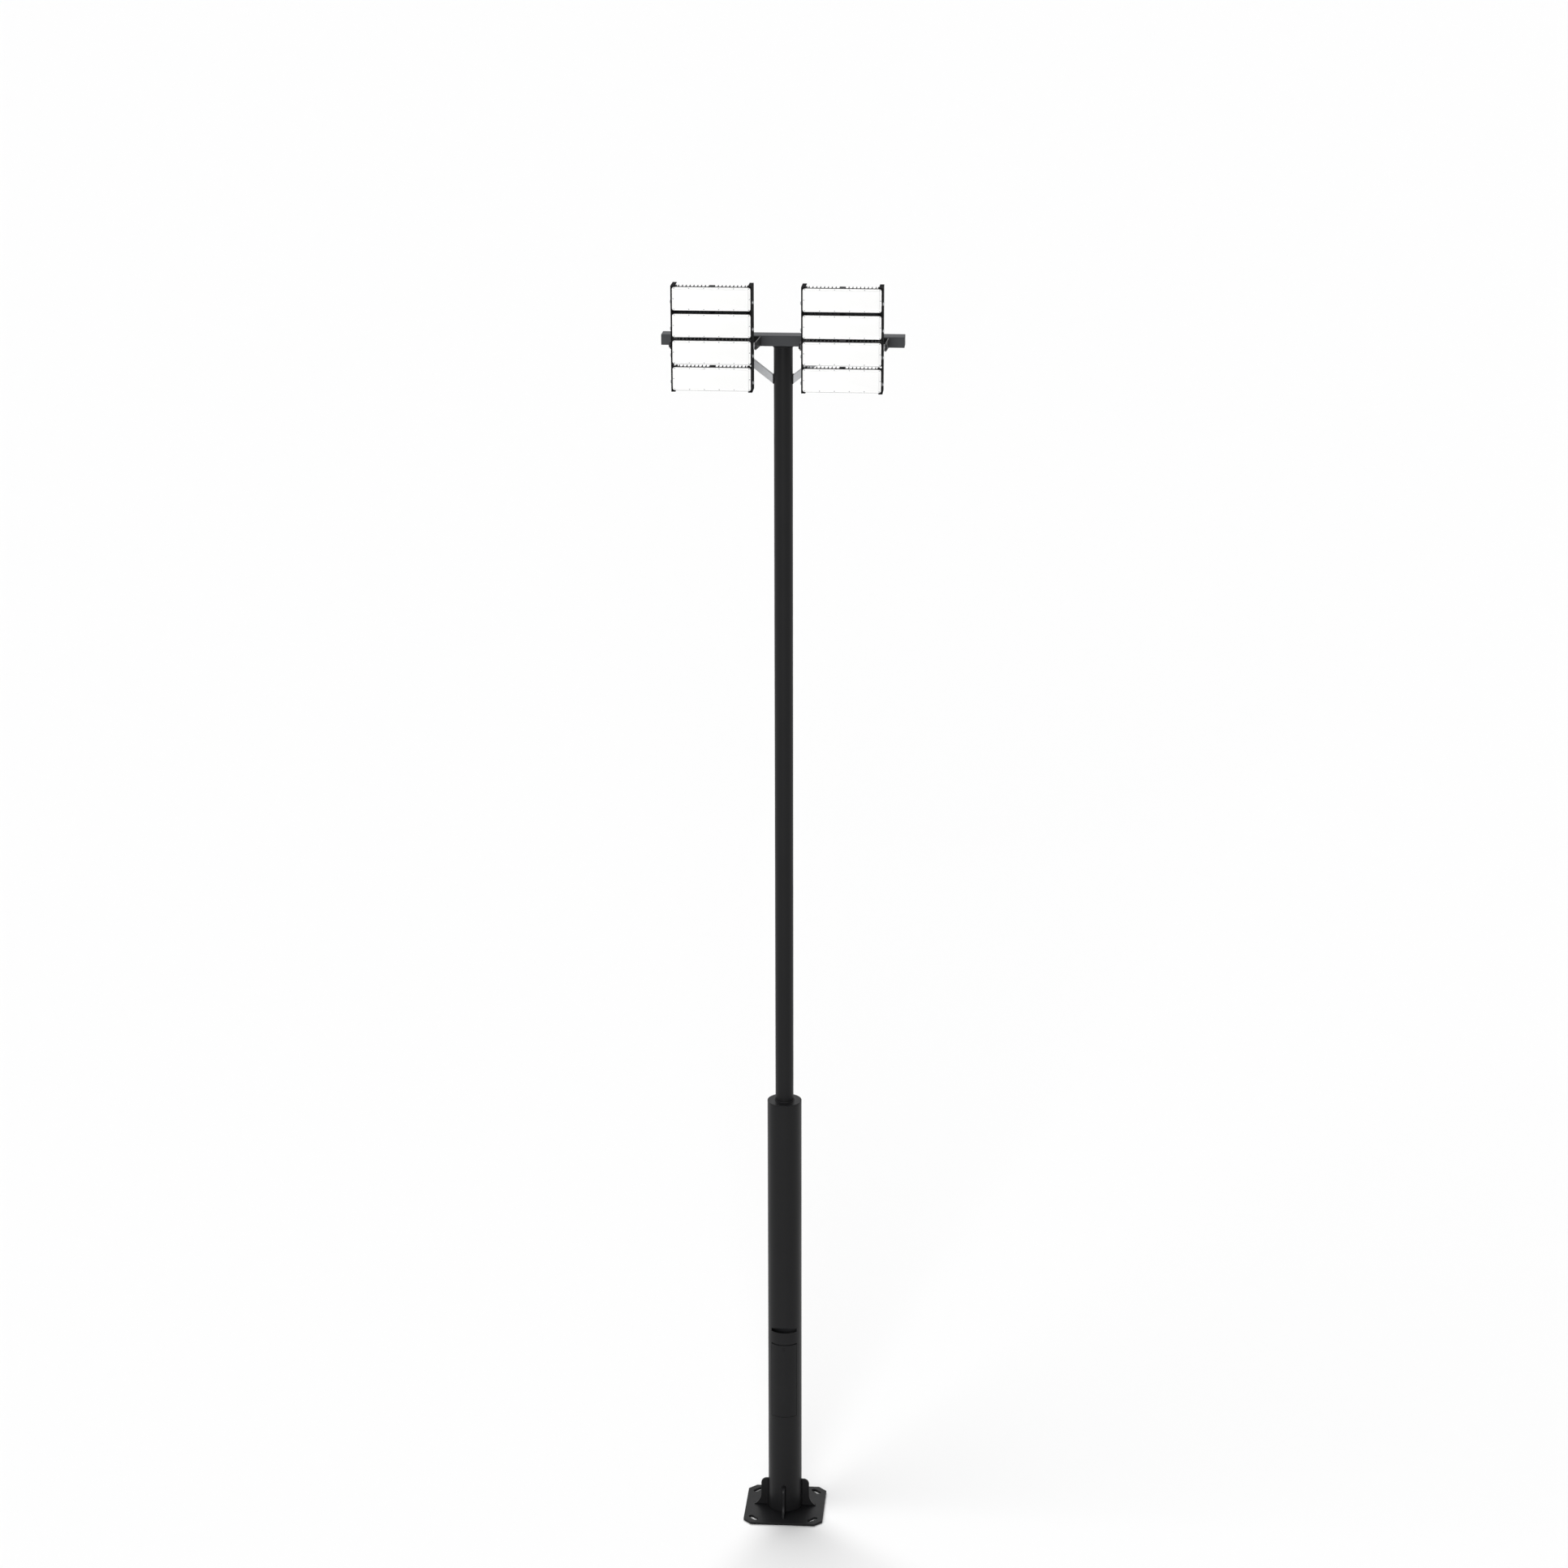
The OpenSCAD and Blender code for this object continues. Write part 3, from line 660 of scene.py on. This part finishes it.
def places(points, outward):
    """Loose points for a tree to set fasteners on, all facing the same way, or each
    its own."""
    mesh = bpy.data.meshes.new("places")
    mesh.from_pydata([tuple(p) for p in points], [], [])
    ways = [outward] * len(points) if isinstance(outward, tuple) else outward
    mesh.attributes.new("outward", "FLOAT_VECTOR", "POINT").data.foreach_set(
        "vector", [c for way in ways for c in way])
    return mesh


def along_x(shape, low_x, high_x, y, z, radius):
    """Adds a round disc or rod that lies along X to shape."""
    place = (Matrix.Translation(((low_x + high_x) / 2, y, z))
             @ Matrix.Rotation(math.pi / 2, 4, "Y"))
    bmesh.ops.create_cone(shape, cap_ends=True, segments=48, radius1=radius, radius2=radius,
                          depth=high_x - low_x, matrix=place)


PIVOT_Y = -0.309
PIVOT_Z = 6.061
COLLAR_R = 0.016
ARM_T = 0.004
ARM_PLAY = 0.0003
PIVOT_HEAD_T = 0.006
PIVOT_HEAD_R = 0.012
PIVOT_WASHER = 0.023
STRAP_T = 0.005
STRAP_BOLT_X = 0.075
# Zinc plate: bright where it is left clear, dark grey where it is passivated black.
bolt_zinc = plated_steel("bright_zinc_plated_steel", "#b4b6b8", 0.35)
black_zinc = plated_steel("black_zinc_plated_steel", "#3a3a3c", 0.45)
beam_low, beam_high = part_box("cross_beam")
beam_mid = (beam_low.z + beam_high.z) / 2
strap_front = beam_low.y - STRAP_T
right_yoke_low, right_yoke_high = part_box("right_yoke")
side_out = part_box("right_outer_plate")[1].x - (right_yoke_low.x + right_yoke_high.x) / 2
for side in ("left", "right"):
    yoke_low, yoke_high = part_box(f"{side}_yoke")
    middle = (yoke_low.x + yoke_high.x) / 2
    arm_out = yoke_high.x - middle
    piece(f"{side}_yoke_steel", solid_mesh(f"{side}_yoke"), satin_black, "pole",
          [f"{side}_yoke"], edge_mm=0.8)
    bolts = places([(middle + hand * STRAP_BOLT_X, strap_front, beam_mid)
                    for hand in (-1, 1)], (0, -1, 0))
    piece(f"{side}_strap_bolts", grown(hex_bolts, bolts, black_zinc), black_zinc, "pole")
    collars = bmesh.new()
    for hand in (-1, 1):
        span = sorted(middle + hand * x for x in (side_out, arm_out - ARM_T - ARM_PLAY))
        along_x(collars, *span, PIVOT_Y, PIVOT_Z, COLLAR_R)
    piece(f"{side}_pivot_collars", closed_mesh(collars, "collars"), galvanised, f"{side}_lamp",
          [f"{side}_pivots"], edge_mm=0.6)
    heads = places([(middle + hand * (arm_out + ARM_PLAY), PIVOT_Y, PIVOT_Z)
                    for hand in (-1, 1)], [(-1, 0, 0), (1, 0, 0)])
    piece(f"{side}_pivot_heads",
          grown(hex_bolts, heads, black_zinc, Across_Flats=PIVOT_HEAD_R * math.sqrt(3),
                Head_Height=PIVOT_HEAD_T, Washer=PIVOT_WASHER),
          black_zinc, f"{side}_lamp")


# ---- Lamp frames ----
# Two side plates, flanged at top and bottom, carry the modules on flange bolts. They are
# laser-cut and folded from 4 mm aluminium sheet, with a fine-textured black powder coat.

# Fine-textured black: dead matt, with a sandy grain. The grain is drawn at 0.9 mm, about
# twice the real one, so that it shows.
frame_black = coat("fine_textured_black_powder_coat", "#131314", peel_mm=0.9, peel=0.5,
                   roughness=0.8, specular=0.04)
MODULES = 4
BOLT_DROP = 0.017
BOLT_BACK = 0.015
for side, body in (("left", "left_lamp"), ("right", "right_lamp")):
    for which in ("inner", "outer"):
        name = f"{side}_{which}_plate"
        low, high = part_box(name)
        piece(f"{name}_sheet", solid_mesh(name), frame_black, body, [name],
              edge_mm=0.6)
        faces_right = (which == "outer") == (side == "right")
        x = high.x if faces_right else low.x
        bolts = []
        for i in range(1, MODULES + 1):
            module_low, module_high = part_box(f"{side}_module_{i}")
            bolts.append((x, module_low.y + BOLT_BACK,
                          (module_low.z + module_high.z) / 2 - BOLT_DROP))
        piece(f"{side}_{which}_module_bolts",
              grown(hex_bolts, places(bolts, (1 if faces_right else -1, 0, 0)), bolt_zinc,
                    Across_Flats=0.013, Head_Height=0.0048, Washer=0.017),
              bolt_zinc, body)


# ---- LED modules ----
# Each module is a pressure die casting: a front plate that holds the LEDs, and behind
# it cooling fins on both sides of a thick spine. The cast skin is coated black.

# Coated casting: black, and duller and grainier than the pole, as the cast skin shows.
cast_black = coat("black_coated_die_casting", "#171719", peel_mm=1.6, peel=0.6,
                  roughness=0.62, specular=0.2)

TIP_ROUNDING = 0.4
cooling_fins, given = new_tree(
    "cooling_fins", {"Depth": 0.042, "Root": 0.0045, "Tip": 0.0032, "Length": 0.11})
blade = add(cooling_fins, "GeometryNodeCurvePrimitiveQuadrilateral",
            {"Bottom Width": given["Root"], "Top Width": given["Tip"],
             "Height": given["Depth"], "Offset": 0.0}, mode="TRAPEZOID")
tip_round = add(cooling_fins, "ShaderNodeMath", {0: given["Tip"], 1: TIP_ROUNDING},
                operation="MULTIPLY")
blade = add(cooling_fins, "GeometryNodeFilletCurve",
            {"Curve": blade.outputs[0], "Count": 2, "Radius": tip_round.outputs[0],
             "Limit Radius": True}, mode="POLY")
foot = add(cooling_fins, "GeometryNodeFillCurve", {"Curve": blade.outputs[0]}, mode="NGONS")
rise = add(cooling_fins, "ShaderNodeCombineXYZ", {"Z": given["Length"]})
body_of_fin = add(cooling_fins, "GeometryNodeExtrudeMesh",
                  {"Mesh": foot.outputs[0], "Offset": rise.outputs[0], "Offset Scale": 1.0,
                   "Individual": False})
turned = add(cooling_fins, "GeometryNodeFlipFaces", {"Mesh": foot.outputs[0]})
fin = add(cooling_fins, "GeometryNodeJoinGeometry", {0: body_of_fin.outputs["Mesh"]})
cooling_fins.links.new(turned.outputs[0], fin.inputs[0])
fin = add(cooling_fins, "GeometryNodeMergeByDistance",
          {"Geometry": fin.outputs[0], "Distance": 0.00001})
half_depth = add(cooling_fins, "ShaderNodeMath", {0: given["Depth"], 1: 0.5},
                 operation="MULTIPLY")
half_length = add(cooling_fins, "ShaderNodeMath", {0: given["Length"], 1: -0.5},
                  operation="MULTIPLY")
shift = add(cooling_fins, "ShaderNodeCombineXYZ",
            {"Y": half_depth.outputs[0], "Z": half_length.outputs[0]})
fin = add(cooling_fins, "GeometryNodeTransform",
          {"Geometry": fin.outputs[0], "Translation": shift.outputs[0]})
row = add(cooling_fins, "GeometryNodeInstanceOnPoints",
          {"Points": given["Geometry"], "Instance": fin.outputs[0]})
end_tree(cooling_fins, given, row.outputs[0])


def rounded(width, height, radius, steps=6):
    """Corner points of a rectangle with round corners, anticlockwise."""
    points = []
    for quarter, (sx, sz) in enumerate(((1, 1), (-1, 1), (-1, -1), (1, -1))):
        for i in range(steps + 1):
            a = (quarter + i / steps) * math.pi / 2
            points.append((sx * (width / 2 - radius) + radius * math.cos(a),
                           sz * (height / 2 - radius) + radius * math.sin(a)))
    return points


def stacked(shape, centre, loops):
    """Adds a closed shell to shape, from level outlines stacked towards the front.
    Each loop is (distance in front of centre, points across and up)."""
    rings = [[shape.verts.new((centre[0] + x, centre[1] - depth, centre[2] + z))
              for x, z in points] for depth, points in loops]
    count = len(rings[0])
    for here, there in zip(rings, rings[1:]):
        for i in range(count):
            shape.faces.new([here[i], here[(i + 1) % count], there[(i + 1) % count],
                             there[i]])
    shape.faces.new(rings[0][::-1])
    shape.faces.new(rings[-1])


def block(shape, low, high):
    """Adds a box to shape."""
    made = bmesh.ops.create_cube(shape, size=1.0)
    for v in made["verts"]:
        v.co = Vector([low[i] + (v.co[i] + 0.5) * (high[i] - low[i]) for i in range(3)])


PLATE_W = 0.360
PLATE_T = 0.009
PLATE_R = 0.010
FIN_DEPTH = 0.042
FIN_T = 0.0045
FIN_PITCH = 0.0175
FINS_PER_SIDE = 8
SPINE_W = 0.028
END_BLOCK_W = 0.010
EAR_DEPTH = 0.030
EAR_BACK = 0.0005
NOTCH_H = 0.021
SUNK = 0.001
first_fin = SPINE_W / 2 + FIN_PITCH - FIN_T / 2
for side, body in (("left", "left_lamp"), ("right", "right_lamp")):
    castings = bmesh.new()
    fin_roots = []
    for i in range(1, MODULES + 1):
        low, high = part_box(f"{side}_module_{i}")
        x = (low.x + high.x) / 2
        z = (low.z + high.z) / 2
        half_h = (high.z - low.z) / 2
        fins_y = low.y + PLATE_T
        root_y = fins_y - SUNK
        outline = rounded(PLATE_W, high.z - low.z, PLATE_R)
        stacked(castings, (x, fins_y, z), [(0, outline), (PLATE_T, outline)])
        block(castings, (x - SPINE_W / 2, root_y, low.z), (x + SPINE_W / 2, high.y, high.z))
        for hand in (-1, 1):
            outer_x = PLATE_W / 2 - PLATE_R
            span = sorted((x + hand * (outer_x - END_BLOCK_W), x + hand * outer_x))
            block(castings, (span[0], root_y, low.z), (span[1], high.y, high.z))
            ear = sorted((x + hand * (outer_x - SUNK), high.x if hand > 0 else low.x))
            ear_front, ear_back = low.y + EAR_BACK, low.y + EAR_DEPTH - SUNK
            notch = z - BOLT_DROP
            for bottom, top in ((low.z, notch - NOTCH_H / 2), (notch + NOTCH_H / 2, high.z)):
                block(castings, (ear[0], ear_front, bottom), (ear[1], ear_back, top))
            fin_roots += [(x + hand * (first_fin + k * FIN_PITCH), fins_y, z)
                          for k in range(FINS_PER_SIDE)]
    piece(f"{side}_module_castings", closed_mesh(castings, "castings"), cast_black, body,
          [f"{side}_module_{i}" for i in range(1, MODULES + 1)],
          edge_mm=0.6)
    piece(f"{side}_cooling_fins",
          grown(cooling_fins, places(fin_roots, (0, 1, 0)), cast_black, Depth=FIN_DEPTH,
                Length=2 * half_h),
          cast_black, body)


# ---- Covers ----
# Each module is closed by an injection-moulded opal cover with a raised window. Small
# steel screws along its rim press it on a seal.

# Opal polycarbonate: milky white, with a soft mirror on a finely frosted face. The frost
# is drawn at 1.5 mm, coarser than the real one, so that it shows.
FROST = 0.0015
opal, tree = new_material("opal_polycarbonate")
place = add(tree, "ShaderNodeTexCoord").outputs["Object"]
frost = add(tree, "ShaderNodeTexNoise", {"Vector": place, "Scale": 1 / FROST, "Detail": 2.0})
relief = add(tree, "ShaderNodeBump",
             {"Height": frost.outputs["Fac"], "Strength": 0.1, "Distance": 0.0002})
resin = add(tree, "ShaderNodeBsdfPrincipled",
            {"Base Color": rgb("#fdfdfc"), "Roughness": 0.35, "IOR": 1.58,
             "Normal": relief.outputs[0]})
add(tree, "ShaderNodeOutputMaterial", {"Surface": resin.outputs[0]})

# A screw is a low domed head with a round socket sunk into it.
DOME_TOP = 0.72
SOCKET_SIZE = 0.6
SOCKET_DEPTH = 0.6
rim_screws, given = new_tree("rim_screws", {"Head": 0.0055, "Height": 0.0016})
head_r = add(rim_screws, "ShaderNodeMath", {0: given["Head"], 1: 0.5}, operation="MULTIPLY")
top_r = add(rim_screws, "ShaderNodeMath", {0: head_r.outputs[0], 1: DOME_TOP},
            operation="MULTIPLY")
dome = add(rim_screws, "GeometryNodeMeshCone",
           {"Vertices": 12, "Radius Bottom": head_r.outputs[0],
            "Radius Top": top_r.outputs[0], "Depth": given["Height"]})
mouth = add(rim_screws, "GeometryNodeExtrudeMesh",
            {"Mesh": dome.outputs["Mesh"], "Selection": dome.outputs["Top"],
             "Offset Scale": 0.0, "Individual": False})
mouth_in = add(rim_screws, "GeometryNodeScaleElements",
               {"Geometry": mouth.outputs["Mesh"], "Selection": mouth.outputs["Top"],
                "Scale": SOCKET_SIZE})
sunk = add(rim_screws, "ShaderNodeMath", {0: given["Height"], 1: -SOCKET_DEPTH},
           operation="MULTIPLY")
socket = add(rim_screws, "GeometryNodeExtrudeMesh",
             {"Mesh": mouth_in.outputs[0], "Selection": mouth.outputs["Top"],
              "Offset Scale": sunk.outputs[0], "Individual": False})
outward = add(rim_screws, "GeometryNodeInputNamedAttribute", {"Name": "outward"},
              data_type="FLOAT_VECTOR")
upright = add(rim_screws, "FunctionNodeAlignRotationToVector",
              {"Vector": outward.outputs[0]}, axis="Z")
placed = add(rim_screws, "GeometryNodeInstanceOnPoints",
             {"Points": given["Geometry"], "Instance": socket.outputs["Mesh"],
              "Rotation": upright.outputs[0]})
end_tree(rim_screws, given, placed.outputs[0])

COVER_W = 0.3576
COVER_H = 0.106
COVER_R = 0.010
LEAST_R = 0.003
RIM_T = 0.0055
RIM_W = 0.009
BEVEL = 0.0008
SCREW_INSET = 0.0048
SCREW_PITCH = 0.068
SCREWS_PER_EDGE = 6
# The window's edge rolls over: each step is how far it is below the face and inside the rim.
WINDOW_EDGE = ((0.0012, 0.0008), (0.0003, 0.0018), (0.0, 0.0035))


def cover_outline(inset):
    """The cover's outline, this far inside its edge."""
    return rounded(COVER_W - 2 * inset, COVER_H - 2 * inset, max(COVER_R - inset, LEAST_R))


for side, body in (("left", "left_lamp"), ("right", "right_lamp")):
    shells = bmesh.new()
    screws = []
    covers_low, covers_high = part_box(f"{side}_covers")
    full = covers_high.y - covers_low.y
    for i in range(1, MODULES + 1):
        low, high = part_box(f"{side}_module_{i}")
        centre = ((low.x + high.x) / 2, covers_high.y, (low.z + high.z) / 2)
        stacked(shells, centre,
                [(0, cover_outline(0)), (RIM_T - BEVEL, cover_outline(0)),
                 (RIM_T, cover_outline(BEVEL)), (RIM_T, cover_outline(RIM_W))]
                + [(full - below, cover_outline(RIM_W + inside))
                   for below, inside in WINDOW_EDGE])
        across = [(k - (SCREWS_PER_EDGE - 1) / 2) * SCREW_PITCH
                  for k in range(SCREWS_PER_EDGE)]
        edge_z = COVER_H / 2 - SCREW_INSET
        edge_x = COVER_W / 2 - SCREW_INSET
        spots = [(x, hand * edge_z) for x in across for hand in (-1, 1)]
        spots += [(-edge_x, 0), (edge_x, 0)]
        screws += [(centre[0] + x, centre[1] - RIM_T, centre[2] + z) for x, z in spots]
    piece(f"{side}_cover_shells", closed_mesh(shells, "covers"), opal, body,
          [f"{side}_covers"])
    piece(f"{side}_cover_screws", grown(rim_screws, places(screws, (0, -1, 0)), bolt_zinc),
          bolt_zinc, body)


# ---- Drivers ----
# A folded crossbar behind the upper modules, coated dark grey as the beam is, carries the
# driver in its ribbed, die-cast housing, with a nylon cable gland below.

for side, body in (("left", "left_lamp"), ("right", "right_lamp")):
    piece(f"{side}_crossbar_sheet", solid_mesh(f"{side}_crossbar"), beam_grey, body,
          [f"{side}_crossbar"], edge_mm=0.6)
    piece(f"{side}_driver_housing", solid_mesh(f"{side}_driver"), cast_black, body,
          [f"{side}_driver"], edge_mm=0.6)
